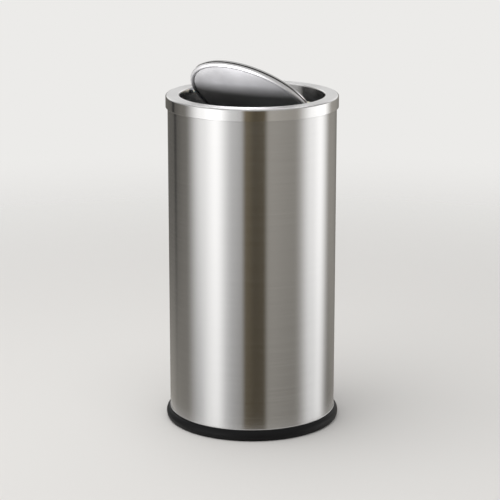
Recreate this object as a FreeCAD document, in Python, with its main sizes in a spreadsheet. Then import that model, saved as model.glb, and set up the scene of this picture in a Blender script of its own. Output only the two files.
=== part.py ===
"""Round steel waste bin with a tumbling flip lid, as a parametric document in millimetres.

The origin is the middle of the base on the floor, +Z is up and X runs along the lid's pivot axis.
The lid is modelled level in its own frame, with its split plane at z = 0, and then tilted on its pivots.
"""
import FreeCAD, Part
import math
import os

import Sketcher
from FreeCAD import Placement, Rotation, Vector

doc = FreeCAD.newDocument("FlipLidBin")

# Driving sizes, in millimetres and degrees
SIZES = {
    # Barrel
    "can_height": 595,            # floor to the flat top of the head ring
    "barrel_radius": 150,         # outside of the barrel
    "barrel_wall": 0.8,
    "curl_radius": 1.6,           # rolled top edge of the barrel
    "barrel_bottom": 4,           # lower edge of the barrel, inside the base ring
    # Base
    "base_plate_height": 22,      # floor to the top of the pan's flat edge
    "base_plate_sheet": 0.8,
    "base_plate_drop": 3,         # depth of the pressed middle of the pan
    "base_plate_border": 28,      # width of the flat edge round the pressed middle
    "base_plate_bend": 3,
    "base_ring_overhang": 7,      # barrel to the widest point of the moulded ring
    "base_ring_height": 18,
    "base_ring_belly": 8,         # height of the widest point
    "base_ring_foot": 4,          # barrel to the outer edge where the ring meets the floor
    "base_ring_inset": 9,         # barrel to the ring's bore
    "base_ring_lip": 2,           # thickness of the lip round the barrel
    "base_ring_inner_lip": 12,    # height of the lip inside the barrel
    # Head
    "head_sheet": 0.8,
    "head_band": 21.5,            # height of the straight outer band
    "head_edge": 3.1,             # outer rounding of the ring
    "head_annulus": 24.8,         # width of the ring from its outside to the mouth
    "mouth_edge": 2.5,            # rounding at the mouth
    "collar_depth": 28,
    "collar_hem": 6,              # height of the folded safe edge
    # Lid
    "lid_gap": 13.2,              # mouth to the outside of the lid's rolled bead
    "lid_sheet": 0.8,
    "lid_bead": 4.3,              # outer radius of the rolled bead
    "lid_dish_depth": 27,         # split plane to the bottom of the lower shell
    "lid_dish_edge": 6,           # split plane to where the lower shell meets its bead
    "lid_dome_height": 16,        # split plane to the top of the upper shell
    "lid_lip_inset": 2,           # how far the upper lip stands in from the bead
    "lid_lip_height": 2.5,        # split plane to the start of the upper shell's rounding
    "lid_lip_edge": 2.5,          # rounding of the upper lip
    "lid_groove": 0.8,            # open line between the two shells
    "lid_spigot": 4,              # depth of the upper shell's flange inside the lower one
    "lid_tilt": 41,               # degrees, front half up
    "pivot_drop": 7,              # head top to the pivot axis
    "weight_radius": 45,
    "weight_top": 14,             # split plane to the flat top of the weight
    # Pivot
    "pin_radius": 2.5,
    "pin_reach": 2.8,             # how far the pin runs on past its bush
    "hex_flats": 8,               # across the flats of the bolt heads and nuts
    "bolt_head": 3.5,
    "nut_height": 4,
    "washer_radius": 4.5,
    "washer_sheet": 1,
    "spacer_radius": 4,
    "tube_radius": 4,
    "tube_wall": 0.7,
    "bush_length": 12,
    "bush_flange": 1.2,
    "bush_flange_radius": 5,
    "saddle_place": 66,           # middle of each saddle along the tube
    "saddle_width": 12,
    "saddle_sheet": 1.5,
    # Liner
    "liner_gap": 9.2,             # barrel's bore to the wall of the liner, at the top
    "liner_taper": 4,             # how much the wall draws in towards its foot
    "liner_wall": 0.7,
    "liner_below_collar": 20.7,   # head collar to the top of the liner's rolled rim
    "liner_curl_radius": 2.5,
    "rim_wire_radius": 1.2,       # wire inside the rolled rim
    "liner_base_height": 8,       # foot to the top of the liner's floor
    "liner_base_bend": 3,
    "ear_width": 24,
    "ear_sheet": 2,
    "ear_corner": 4,
    "ear_below_rim": 28,
    "rivet_below_rim": 17,
    "rivet_spacing": 12,
    "rivet_radius": 2.2,
    "rivet_head_radius": 4,
    "rivet_head": 1.6,
    "bail_wire_radius": 2.5,
    "bail_bend": 4,               # inside of each hooked end, to the wire's middle
    "bail_hook": 5,               # how far the hook passes through its ear
    "bail_upset": 1.2,            # how much the flattened end stands out
    "bail_grip_radius": 4.5,
    "bail_grip_angle": 40,        # degrees of the bail that the grip covers
    # Clearances
    "seat_clearance": 0.3,        # between bodies that rest on each other
    "head_clearance": 0.3,        # between the head's band and the rolled edge
    "fit_clearance": 0.1,         # between pieces fixed to each other
    "running_clearance": 0.05,    # radial play of a pin in its bush
}

# Sizes and places worked out from the driving ones
WORKED_OUT = {
    "barrel_bore": "Sizes.barrel_radius - Sizes.barrel_wall",
    "curl_middle": "barrel_bore + Sizes.curl_radius",
    "curl_height": "Sizes.can_height - Sizes.head_sheet - Sizes.seat_clearance - Sizes.curl_radius",
    "band_bore": "barrel_bore + 2 * Sizes.curl_radius + Sizes.head_clearance",
    "head_radius": "band_bore + Sizes.head_sheet",
    "mouth_radius": "head_radius - Sizes.head_annulus",
    "collar_radius": "mouth_radius + Sizes.head_sheet",
    "collar_bottom": "Sizes.can_height - Sizes.collar_depth",
    "pivot_height": "Sizes.can_height - Sizes.pivot_drop",
    "base_flange": "barrel_bore - Sizes.fit_clearance",
    "base_floor": "Sizes.base_plate_height - Sizes.base_plate_drop",
    "base_step": "base_flange - Sizes.base_plate_border",
    "channel_outside": "Sizes.barrel_radius + Sizes.fit_clearance",
    "channel_inside": "base_flange - Sizes.base_plate_sheet - Sizes.fit_clearance",
    "channel_floor": "Sizes.barrel_bottom - Sizes.fit_clearance",
    "base_ring_radius": "Sizes.barrel_radius + Sizes.base_ring_overhang",
    "base_ring_edge": "Sizes.barrel_radius + Sizes.base_ring_foot",
    "base_ring_bore": "Sizes.barrel_radius - Sizes.base_ring_inset",
    "belly_out": "base_ring_radius - base_ring_edge",
    "lip_radius": "channel_outside + Sizes.base_ring_lip",
    "lip_in": "base_ring_radius - lip_radius",
    "lip_up": "Sizes.base_ring_height - Sizes.base_ring_belly",
    "lid_radius": "mouth_radius - Sizes.lid_gap",
    "bead_middle": "lid_radius - Sizes.lid_bead",
    "dish_wall": "lid_radius - 2 * Sizes.lid_bead",
    "dish_edge_radius": "dish_wall + Sizes.lid_sheet",
    "dish_rise": "Sizes.lid_dish_depth - Sizes.lid_dish_edge",
    "dish_ball": "(dish_edge_radius ^ 2 + dish_rise ^ 2) / (2 * dish_rise)",
    "dish_inner_ball": "dish_ball - Sizes.lid_sheet",
    "dish_centre": "dish_ball - Sizes.lid_dish_depth",
    "lip_outside": "lid_radius - Sizes.lid_lip_inset",
    "lip_centre": "lip_outside - Sizes.lid_lip_edge",
    "dome_rise": "Sizes.lid_dome_height - Sizes.lid_lip_height",
    "dome_ball": "(lip_centre ^ 2 + dome_rise ^ 2 - Sizes.lid_lip_edge ^ 2)"
                 " / (2 * (dome_rise - Sizes.lid_lip_edge))",
    "dome_reach": "dome_ball - Sizes.lid_lip_edge",
    "dome_slope_out": "lip_centre / dome_reach",
    "dome_slope_up": "(dome_ball - dome_rise) / dome_reach",
    "spigot_radius": "dish_wall - Sizes.fit_clearance",
    "lid_hole": "Sizes.tube_radius + Sizes.fit_clearance",
    "tube_bore": "Sizes.tube_radius - Sizes.tube_wall",
    "bush_bore": "Sizes.pin_radius + Sizes.running_clearance",
    "bush_outside": "lid_radius + Sizes.fit_clearance + Sizes.bush_flange",
    "pin_end": "bush_outside - Sizes.bush_length - Sizes.pin_reach",
    "pin_hole": "Sizes.pin_radius + Sizes.fit_clearance",
    "nut_outside": "sqrt(mouth_radius ^ 2 - Sizes.hex_flats ^ 2 / 3) - Sizes.fit_clearance",
    "spacer_outside": "nut_outside - Sizes.nut_height",
    "spacer_inside": "bush_outside + Sizes.seat_clearance",
    "bolt_seat": "collar_radius + Sizes.fit_clearance + Sizes.washer_sheet",
    "weight_ball": "dish_inner_ball - Sizes.fit_clearance",
    "liner_floor": "Sizes.base_plate_height + Sizes.seat_clearance",
    "liner_rim": "collar_bottom - Sizes.liner_below_collar",
    "liner_top_radius": "barrel_bore - Sizes.liner_gap",
    "liner_foot_radius": "liner_top_radius - Sizes.liner_taper",
    "liner_bore": "liner_top_radius - Sizes.liner_wall",
    "liner_foot_bore": "liner_foot_radius - Sizes.liner_wall",
    "liner_curl_middle": "liner_bore + Sizes.liner_curl_radius",
    "liner_curl_height": "liner_rim - Sizes.liner_curl_radius",
    "liner_slope": "Sizes.liner_taper / (liner_curl_height - liner_floor)",
    "liner_flange": "liner_foot_bore - Sizes.fit_clearance",
    "bail_height": "liner_rim + Sizes.bail_grip_radius + Sizes.seat_clearance",
    "rivet_height": "liner_rim - Sizes.rivet_below_rim",
    "rivet_wall": "liner_top_radius - (Sizes.rivet_below_rim - Sizes.liner_curl_radius) * liner_slope",
    "ear_drop": "Sizes.ear_below_rim - Sizes.liner_curl_radius",
    "ear_back": "sqrt((liner_bore - ear_drop * liner_slope) ^ 2 - (Sizes.ear_width / 2) ^ 2)"
                " - Sizes.seat_clearance",
    "ear_front": "ear_back - Sizes.ear_sheet",
    "eye_radius": "Sizes.bail_wire_radius + Sizes.seat_clearance",
    "bail_corner_out": "ear_back + Sizes.seat_clearance",
    "bail_corner": "sqrt(bail_corner_out ^ 2 + Sizes.bail_bend ^ 2)",
    "bail_ring": "bail_corner + Sizes.bail_bend",
    "bail_arc_out": "bail_ring * bail_corner_out / bail_corner",
    "bail_arc_side": "bail_ring * Sizes.bail_bend / bail_corner",
    "bail_hook_end": "ear_front - Sizes.bail_hook",
}


def fill_sheets():
    """Write the driving sizes as plain numbers in one sheet and the worked-out ones as formulas in another."""
    sizes = doc.addObject("Spreadsheet::Sheet", "Sizes")
    for row, (alias, value) in enumerate(SIZES.items(), start=1):
        sizes.set(f"A{row}", alias.replace("_", " "))
        sizes.set(f"B{row}", str(value))
        sizes.setAlias(f"B{row}", alias)
    fits = doc.addObject("Spreadsheet::Sheet", "Fits")
    for row, (alias, formula) in enumerate(WORKED_OUT.items(), start=1):
        fits.set(f"A{row}", alias.replace("_", " "))
        fits.set(f"B{row}", "=" + formula)
        fits.setAlias(f"B{row}", alias)
    doc.recompute()
    return sizes


sheet = fill_sheets()


def named(text):
    """Turn the plain size names in an expression into references to the two sheets."""
    words = []
    word = ""
    for letter in text + " ":
        if letter.isalnum() or letter == "_":
            word += letter
            continue
        if word in SIZES:
            word = "Sizes." + word
        elif word in WORKED_OUT:
            word = "Fits." + word
        words.append(word + letter)
        word = ""
    return "".join(words).strip()


def value(text):
    return float(sheet.evalExpression(named(text)))


def bind(thing, **sizes):
    """Bind properties of a document object to expressions in size names."""
    for name, text in sizes.items():
        thing.setExpression(name, named(text))


def place(thing, **expressions):
    """Bind the position of a document object, axis by axis."""
    for axis, text in expressions.items():
        thing.setExpression(f"Placement.Base.{axis}", named(text))


def arc_between(start, end, radius, left):
    """Arc of under a half circle from start to end, with its middle on the left or the right of the chord."""
    chord = end - start
    normal = Vector(-chord.y, chord.x, 0).normalize()
    if not left:
        normal = normal * -1
    half = chord.Length / 2
    centre = start + chord * 0.5 + normal * math.sqrt(max(radius * radius - half * half, 0))
    side = start + chord * 0.5 - centre
    top = centre + side.normalize() * radius if side.Length > 1e-9 else start + chord * 0.5 - normal * radius
    return Part.Arc(start, top, end)


def new_sketch(body, name, plane):
    sketch = body.newObject("Sketcher::SketchObject", name)
    origin_plane = next(item for item in body.Origin.OriginFeatures if item.Role == plane)
    sketch.AttachmentSupport = (origin_plane, "")
    sketch.MapMode = "FlatFace"
    return sketch


def constrain(sketch, kind, *args):
    """Add a dimension whose last argument is an expression, and bind it."""
    *places, text = args
    index = sketch.addConstraint(Sketcher.Constraint(kind, *places, value(text)))
    sketch.setExpression(f"Constraints[{index}]", named(text))


def pin_point(sketch, edge, end, across, up):
    """Hold one end of an edge at a place given by two expressions."""
    constrain(sketch, "DistanceX", -1, 1, edge, end, across)
    constrain(sketch, "DistanceY", -1, 1, edge, end, up)


def draw(sketch, points, closed=True):
    """Draw an outline through points (across, up) or (across, up, radius, side of the arc's middle).

    A point with a radius starts an arc that runs to the next point, and any other point starts a line.
    """
    corners = [Vector(value(point[0]), value(point[1]), 0) for point in points]
    count = len(points) if closed else len(points) - 1
    edges = []
    for index in range(count):
        start = corners[index]
        end = corners[(index + 1) % len(points)]
        point = points[index]
        if len(point) == 2:
            shape = Part.LineSegment(start, end)
        else:
            shape = arc_between(start, end, value(point[2]), point[3] == "left")
        edges.append(sketch.addGeometry(shape, False))
    ends = [edge_ends(sketch, edge, corners[index]) for index, edge in enumerate(edges)]
    for index in range(count - (0 if closed else 1)):
        follower = (index + 1) % count
        sketch.addConstraint(
            Sketcher.Constraint("Coincident", edges[index], ends[index][1], edges[follower], ends[follower][0]))
    for index, edge in enumerate(edges):
        pin_point(sketch, edge, ends[index][0], points[index][0], points[index][1])
        if len(points[index]) > 2:
            constrain(sketch, "Radius", edge, points[index][2])
    if not closed:
        pin_point(sketch, edges[-1], ends[-1][1], points[-1][0], points[-1][1])


def edge_ends(sketch, edge, start):
    """Numbers of an edge's first and last points in drawing order, which a clockwise arc has swapped."""
    if (sketch.getPoint(edge, 1) - start).Length < (sketch.getPoint(edge, 2) - start).Length:
        return 1, 2
    return 2, 1


def draw_circle(sketch, across, up, radius):
    circle = Part.Circle(Vector(value(across), value(up), 0), Vector(0, 0, 1), value(radius))
    edge = sketch.addGeometry(circle, False)
    pin_point(sketch, edge, 3, across, up)
    constrain(sketch, "Radius", edge, radius)


def new_body(label):
    body = doc.addObject("PartDesign::Body", label)
    body.Label = label
    return body


def turned(label, points, axis="V_Axis", plane="XZ_Plane"):
    """Body made by turning one closed outline all the way round."""
    body = new_body(label)
    sketch = new_sketch(body, label + "_section", plane)
    draw(sketch, points)
    turn = body.newObject("PartDesign::Revolution", label + "_turn")
    turn.Profile = sketch
    turn.ReferenceAxis = (sketch, [axis])
    turn.Angle = 360
    doc.recompute()
    return body


def drill_across(body, circles):
    """Drill round holes along X right through a body, and see that they cut."""
    before = body.Shape.Volume
    sketch = new_sketch(body, body.Label + "_holes", "YZ_Plane")
    for across, up, radius in circles:
        draw_circle(sketch, across, up, radius)
    pocket = body.newObject("PartDesign::Pocket", body.Label + "_drilled")
    pocket.Profile = sketch
    pocket.Type = "ThroughAll"
    pocket.Midplane = True
    doc.recompute()
    assert body.Shape.Volume < before, body.Label + " was not drilled"


def mirrored(source, label, normals):
    """Group of a solid and its copies mirrored across planes through the origin, one plane after another."""
    members = [source]
    for step, normal in enumerate(normals):
        for member in list(members):
            copy = doc.addObject("Part::Mirroring", f"{label}_{step}_{len(members)}")
            copy.Source = member
            copy.Normal = normal
            members.append(copy)
    group = doc.addObject("Part::Compound", label)
    group.Label = label
    group.Links = members
    doc.recompute()
    return group


def tilt_on_pivot(piece):
    """Turn a piece of the lid from its level frame to the lid's place on its pivots."""
    piece.Placement = Placement(Vector(0, 0, 0), Rotation(Vector(-1, 0, 0), value("lid_tilt")))
    place(piece, z="pivot_height")
    piece.setExpression("Placement.Rotation.Angle", named("lid_tilt") + " * 1 deg")


def barrel():
    """Sheet tube whose top edge is rolled outwards through three quarters of a turn."""
    inner_curl = "curl_radius - barrel_wall"
    return turned("barrel", [
        ("barrel_bore", "barrel_bottom"),
        ("barrel_radius", "barrel_bottom"),
        ("barrel_radius", "curl_height", inner_curl, "right"),
        ("curl_middle", "curl_height + curl_radius - barrel_wall", inner_curl, "right"),
        ("curl_middle + curl_radius - barrel_wall", "curl_height", inner_curl, "right"),
        ("curl_middle", "curl_height - curl_radius + barrel_wall"),
        ("curl_middle", "curl_height - curl_radius", "curl_radius", "left"),
        ("curl_middle + curl_radius", "curl_height", "curl_radius", "left"),
        ("curl_middle", "curl_height + curl_radius", "curl_radius", "left"),
        ("barrel_bore", "curl_height"),
    ])


def base_plate():
    """Pressed pan with a lowered middle and a flange turned down inside the barrel."""
    bend = "base_plate_bend"
    inner_bend = "base_plate_bend - base_plate_sheet"
    return turned("base_plate", [
        ("0", "base_floor - base_plate_sheet"),
        ("base_step - base_plate_drop", "base_floor - base_plate_sheet"),
        ("base_step", "base_plate_height - base_plate_sheet"),
        ("base_flange - base_plate_bend", "base_plate_height - base_plate_sheet", inner_bend, "right"),
        ("base_flange - base_plate_sheet", "base_plate_height - base_plate_bend"),
        ("base_flange - base_plate_sheet", "barrel_bottom"),
        ("base_flange", "barrel_bottom"),
        ("base_flange", "base_plate_height - base_plate_bend", bend, "left"),
        ("base_flange - base_plate_bend", "base_plate_height"),
        ("base_step - base_plate_sheet / 2", "base_plate_height"),
        ("base_step - base_plate_drop - base_plate_sheet / 2", "base_floor"),
        ("0", "base_floor"),
    ])


def base_ring():
    """Moulded ring with a rounded belly and a channel for the lower edge of the barrel and the pan's flange."""
    foot_curve = "(belly_out ^ 2 + base_ring_belly ^ 2) / (2 * belly_out)"
    lip_curve = "(lip_in ^ 2 + lip_up ^ 2) / (2 * lip_in)"
    return turned("base_ring", [
        ("base_ring_bore", "0"),
        ("base_ring_edge", "0", foot_curve, "left"),
        ("base_ring_radius", "base_ring_belly", lip_curve, "left"),
        ("lip_radius", "base_ring_height"),
        ("channel_outside", "base_ring_height"),
        ("channel_outside", "channel_floor"),
        ("channel_inside", "channel_floor"),
        ("channel_inside", "base_ring_inner_lip"),
        ("base_ring_bore", "base_ring_inner_lip"),
    ])


def head_ring():
    """Drawn ring in one sheet: outer band, rounded edge, flat annulus, rounded mouth and hemmed collar."""
    outer_bend = "head_edge"
    mouth_bend = "mouth_edge"
    ring = turned("head_ring", [
        ("band_bore", "can_height - head_band"),
        ("head_radius", "can_height - head_band"),
        ("head_radius", "can_height - head_edge", outer_bend, "left"),
        ("head_radius - head_edge", "can_height"),
        ("mouth_radius + mouth_edge", "can_height", mouth_bend, "left"),
        ("mouth_radius", "can_height - mouth_edge"),
        ("mouth_radius", "collar_bottom"),
        ("collar_radius + head_sheet", "collar_bottom"),
        ("collar_radius + head_sheet", "collar_bottom + collar_hem"),
        ("collar_radius", "collar_bottom + collar_hem"),
        ("collar_radius", "can_height - mouth_edge", "mouth_edge - head_sheet", "right"),
        ("mouth_radius + mouth_edge", "can_height - head_sheet"),
        ("head_radius - head_edge", "can_height - head_sheet", "head_edge - head_sheet", "right"),
        ("band_bore", "can_height - head_edge"),
    ])
    drill_across(ring, [("0", "pivot_height", "pin_hole")])
    return ring


def along_x(label, radius, start, end, height="pivot_height"):
    """Round bar along X between two places."""
    bar = doc.addObject("Part::Cylinder", label)
    bar.Placement = Placement(Vector(0, 0, 0), Rotation(Vector(0, 1, 0), 90))
    bind(bar, Radius=radius, Height=f"({end}) - ({start})")
    place(bar, x=start, z=height)
    return bar


def hex_along_x(label, start, end, height="pivot_height"):
    """Hexagonal bar along X between two places."""
    bar = doc.addObject("Part::Prism", label)
    bar.Polygon = 6
    bar.Placement = Placement(Vector(0, 0, 0), Rotation(Vector(0, 1, 0), 90))
    bind(bar, Circumradius="hex_flats / sqrt(3)", Height=f"({end}) - ({start})")
    place(bar, x=start, z=height)
    return bar


def boolean(kind, label, base, tool):
    result = doc.addObject(kind, label)
    result.Base = base
    result.Tool = tool
    return result


def pivot_pieces():
    """Fixed half of the pivots: bolt, washer outside the collar, nut inside it and spacer up to the lid."""
    across = [Vector(1, 0, 0)]
    head = hex_along_x("bolt_hex", "bolt_seat", "bolt_seat + bolt_head")
    shank = along_x("bolt_shank", "pin_radius", "pin_end", "bolt_seat + bolt_head / 2")
    bolt = boolean("Part::Fuse", "bolt_single", head, shank)
    washer = boolean(
        "Part::Cut", "washer_single",
        along_x("washer_disc", "washer_radius", "bolt_seat - washer_sheet", "bolt_seat"),
        along_x("washer_hole", "pin_hole", "bolt_seat - 2 * washer_sheet", "bolt_seat + washer_sheet"))
    nut = boolean(
        "Part::Cut", "nut_single",
        hex_along_x("nut_hex", "spacer_outside", "nut_outside"),
        along_x("nut_thread", "pin_hole", "spacer_outside - nut_height", "nut_outside + nut_height"))
    spacer = boolean(
        "Part::Cut", "spacer_single",
        along_x("spacer_sleeve", "spacer_radius", "spacer_inside", "spacer_outside"),
        along_x("spacer_bore", "pin_hole", "spacer_inside - 1", "spacer_outside + 1"))
    return [
        mirrored(bolt, "pivot_bolts", across),
        mirrored(washer, "pivot_washers", across),
        mirrored(nut, "pivot_nuts", across),
        mirrored(spacer, "pivot_spacers", across),
    ]


def lid_bottom_dish():
    """Lower shell: shallow ball-shaped dish whose edge is rolled outwards into a round bead."""
    inner_bead = "lid_bead - lid_sheet"
    curl_end = "sqrt(0.5)"
    inner_edge = "dish_centre - sqrt(dish_inner_ball ^ 2 - dish_wall ^ 2)"
    dish = turned("lid_bottom_dish", [
        ("0", "-lid_dish_depth", "dish_ball", "left"),
        ("dish_edge_radius", "-lid_dish_edge"),
        ("dish_edge_radius", "-lid_bead", inner_bead, "right"),
        ("bead_middle", "-lid_sheet", inner_bead, "right"),
        ("bead_middle + lid_bead - lid_sheet", "-lid_bead", inner_bead, "right"),
        (f"bead_middle - (lid_bead - lid_sheet) * {curl_end}",
         f"-lid_bead - (lid_bead - lid_sheet) * {curl_end}"),
        (f"bead_middle - lid_bead * {curl_end}", f"-lid_bead - lid_bead * {curl_end}", "lid_bead", "left"),
        ("lid_radius", "-lid_bead", "lid_bead", "left"),
        ("bead_middle", "0", "lid_bead", "left"),
        ("dish_wall", "-lid_bead"),
        ("dish_wall", inner_edge, "dish_inner_ball", "right"),
        ("0", "-lid_dish_depth + lid_sheet"),
    ])
    drill_across(dish, [("0", "0", "lid_hole")])
    tilt_on_pivot(dish)
    return dish


def lid_top_dome():
    """Upper shell: low dome with a rounded lip, stepped in to a flange that nests in the lower shell."""
    dome = turned("lid_top_dome", [
        ("0", "lid_dome_height - lid_sheet", "dome_ball - lid_sheet", "right"),
        ("(dome_ball - lid_sheet) * dome_slope_out",
         "lid_dome_height - dome_ball + (dome_ball - lid_sheet) * dome_slope_up",
         "lid_lip_edge - lid_sheet", "right"),
        ("lip_outside - lid_sheet", "lid_lip_height"),
        ("lip_outside - lid_sheet", "lid_groove + lid_sheet"),
        ("spigot_radius - lid_sheet", "lid_groove + lid_sheet"),
        ("spigot_radius - lid_sheet", "-lid_spigot"),
        ("spigot_radius", "-lid_spigot"),
        ("spigot_radius", "lid_groove"),
        ("lip_outside", "lid_groove"),
        ("lip_outside", "lid_lip_height", "lid_lip_edge", "left"),
        ("dome_ball * dome_slope_out", "lid_dome_height - dome_ball + dome_ball * dome_slope_up",
         "dome_ball", "left"),
        ("0", "lid_dome_height"),
    ])
    drill_across(dome, [("0", "0", "lid_hole")])
    tilt_on_pivot(dome)
    return dome


def lid_inside():
    """What turns with the lid between its shells: cross tube, bushes, saddles and balance weight."""
    end = "lid_radius - fit_clearance"
    tube = boolean(
        "Part::Cut", "lid_cross_tube",
        along_x("tube_bar", "tube_radius", f"-({end})", end, "0"),
        along_x("tube_hole", "tube_bore", "-lid_radius", "lid_radius", "0"))
    bush_shank = along_x("bush_shank", "tube_bore - fit_clearance / 2", "bush_outside - bush_length",
                         "bush_outside", "0")
    bush_flange = along_x("bush_flange", "bush_flange_radius", "bush_outside - bush_flange",
                          "bush_outside", "0")
    bush = boolean(
        "Part::Cut", "bush_single",
        boolean("Part::Fuse", "bush_blank", bush_shank, bush_flange),
        along_x("bush_hole", "bush_bore", "bush_outside - 2 * bush_length", "bush_outside + bush_length", "0"))
    bushes = mirrored(bush, "lid_bushes", [Vector(1, 0, 0)])
    weight = turned("balance_weight", [
        ("0", "dish_centre - weight_ball", "weight_ball", "left"),
        ("weight_radius", "dish_centre - sqrt(weight_ball ^ 2 - weight_radius ^ 2)"),
        ("weight_radius", "-weight_top"),
        ("0", "-weight_top"),
    ])
    pieces = [tube, bushes, lid_saddles(), weight]
    for piece in pieces:
        tilt_on_pivot(piece)
    return pieces


def lid_saddles():
    """Two pressed troughs that stand on the lower shell and carry the cross tube."""
    body = new_body("saddle_single")
    sketch = new_sketch(body, "saddle_outline", "YZ_Plane")
    seat = "tube_radius + fit_clearance"
    outside = f"{seat} + saddle_sheet"
    draw(sketch, [
        (f"-({outside})", "-lid_dish_depth"),
        (f"-({outside})", "0"),
        (f"-({seat})", "0", seat, "left"),
        ("0", f"-({seat})", seat, "left"),
        (seat, "0"),
        (outside, "0"),
        (outside, "-lid_dish_depth"),
        (seat, "-lid_dish_depth"),
        (seat, f"-({outside})"),
        (f"-({seat})", f"-({outside})"),
        (f"-({seat})", "-lid_dish_depth"),
    ])
    pad = body.newObject("PartDesign::Pad", "saddle_strip")
    pad.Profile = sketch
    pad.Midplane = True
    bind(pad, Length="saddle_width")
    place(body, x="saddle_place")
    ball = doc.addObject("Part::Sphere", "saddle_ground")
    bind(ball, Radius="weight_ball")
    place(ball, z="dish_centre")
    saddle = doc.addObject("Part::Common", "saddle_trimmed")
    saddle.Base = body
    saddle.Tool = ball
    return mirrored(saddle, "lid_tube_saddles", [Vector(1, 0, 0)])


def liner_wall():
    """Galvanised bucket wall, slightly tapered, with its top edge rolled round a wire."""
    inner_curl = "liner_curl_radius - liner_wall"
    wall = turned("liner_wall", [
        ("liner_foot_bore", "liner_floor"),
        ("liner_foot_radius", "liner_floor"),
        ("liner_top_radius", "liner_curl_height", inner_curl, "right"),
        ("liner_curl_middle", "liner_curl_height + liner_curl_radius - liner_wall", inner_curl, "right"),
        ("liner_curl_middle + liner_curl_radius - liner_wall", "liner_curl_height", inner_curl, "right"),
        ("liner_curl_middle", "liner_curl_height - liner_curl_radius + liner_wall"),
        ("liner_curl_middle", "liner_curl_height - liner_curl_radius", "liner_curl_radius", "left"),
        ("liner_curl_middle + liner_curl_radius", "liner_curl_height", "liner_curl_radius", "left"),
        ("liner_curl_middle", "liner_rim", "liner_curl_radius", "left"),
        ("liner_bore", "liner_curl_height"),
    ])
    hole = "rivet_radius + fit_clearance"
    drill_across(wall, [
        ("rivet_spacing / 2", "rivet_height", hole),
        ("-rivet_spacing / 2", "rivet_height", hole),
    ])
    return wall


def liner_base():
    """Floor of the bucket, with a flange turned down inside the foot of the wall."""
    return turned("liner_base", [
        ("0", "liner_floor + liner_base_height - liner_wall"),
        ("liner_flange - liner_base_bend", "liner_floor + liner_base_height - liner_wall",
         "liner_base_bend - liner_wall", "right"),
        ("liner_flange - liner_wall", "liner_floor + liner_base_height - liner_base_bend"),
        ("liner_flange - liner_wall", "liner_floor"),
        ("liner_flange", "liner_floor"),
        ("liner_flange", "liner_floor + liner_base_height - liner_base_bend", "liner_base_bend", "left"),
        ("liner_flange - liner_base_bend", "liner_floor + liner_base_height"),
        ("0", "liner_floor + liner_base_height"),
    ])


def liner_rim_wire():
    """Wire that stiffens the bucket's rolled rim."""
    wire = doc.addObject("Part::Torus", "liner_rim_wire")
    wire.Label = "liner_rim_wire"
    bind(wire, Radius1="liner_curl_middle", Radius2="rim_wire_radius")
    place(wire, z="liner_curl_height")
    return wire


def liner_ears():
    """Two plates riveted inside the rim, each with a round top and an eye for the bail."""
    body = new_body("ear_single")
    sketch = new_sketch(body, "ear_outline", "YZ_Plane")
    half = "ear_width / 2"
    foot = "liner_rim - ear_below_rim"
    draw(sketch, [
        (f"ear_corner - {half}", foot),
        (f"{half} - ear_corner", foot, "ear_corner", "left"),
        (half, f"{foot} + ear_corner"),
        (half, "bail_height", half, "left"),
        ("0", f"bail_height + {half}", half, "left"),
        (f"-{half}", "bail_height"),
        (f"-{half}", f"{foot} + ear_corner", "ear_corner", "left"),
    ])
    draw_circle(sketch, "0", "bail_height", "eye_radius")
    hole = "rivet_radius + fit_clearance"
    draw_circle(sketch, "rivet_spacing / 2", "rivet_height", hole)
    draw_circle(sketch, "-rivet_spacing / 2", "rivet_height", hole)
    pad = body.newObject("PartDesign::Pad", "ear_plate")
    pad.Profile = sketch
    bind(pad, Length="ear_sheet")
    place(body, x="ear_front")
    return mirrored(body, "liner_ears", [Vector(1, 0, 0)])


def liner_rivets():
    """Four rivets with domed heads, two through each ear and the wall."""
    inside = "ear_front - fit_clearance"
    outside = "rivet_wall + fit_clearance"
    crown = "(rivet_head_radius ^ 2 + rivet_head ^ 2) / (2 * rivet_head)"
    rivet = turned("rivet_single", [
        (f"{inside} - rivet_head", "0"),
        (f"{outside} + rivet_head", "0", crown, "left"),
        (outside, "rivet_head_radius"),
        (outside, "rivet_radius"),
        (inside, "rivet_radius"),
        (inside, "rivet_head_radius", crown, "left"),
    ], axis="H_Axis", plane="XY_Plane")
    place(rivet, y="rivet_spacing / 2", z="rivet_height")
    return mirrored(rivet, "liner_rivets", [Vector(0, 1, 0), Vector(1, 0, 0)])


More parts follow.
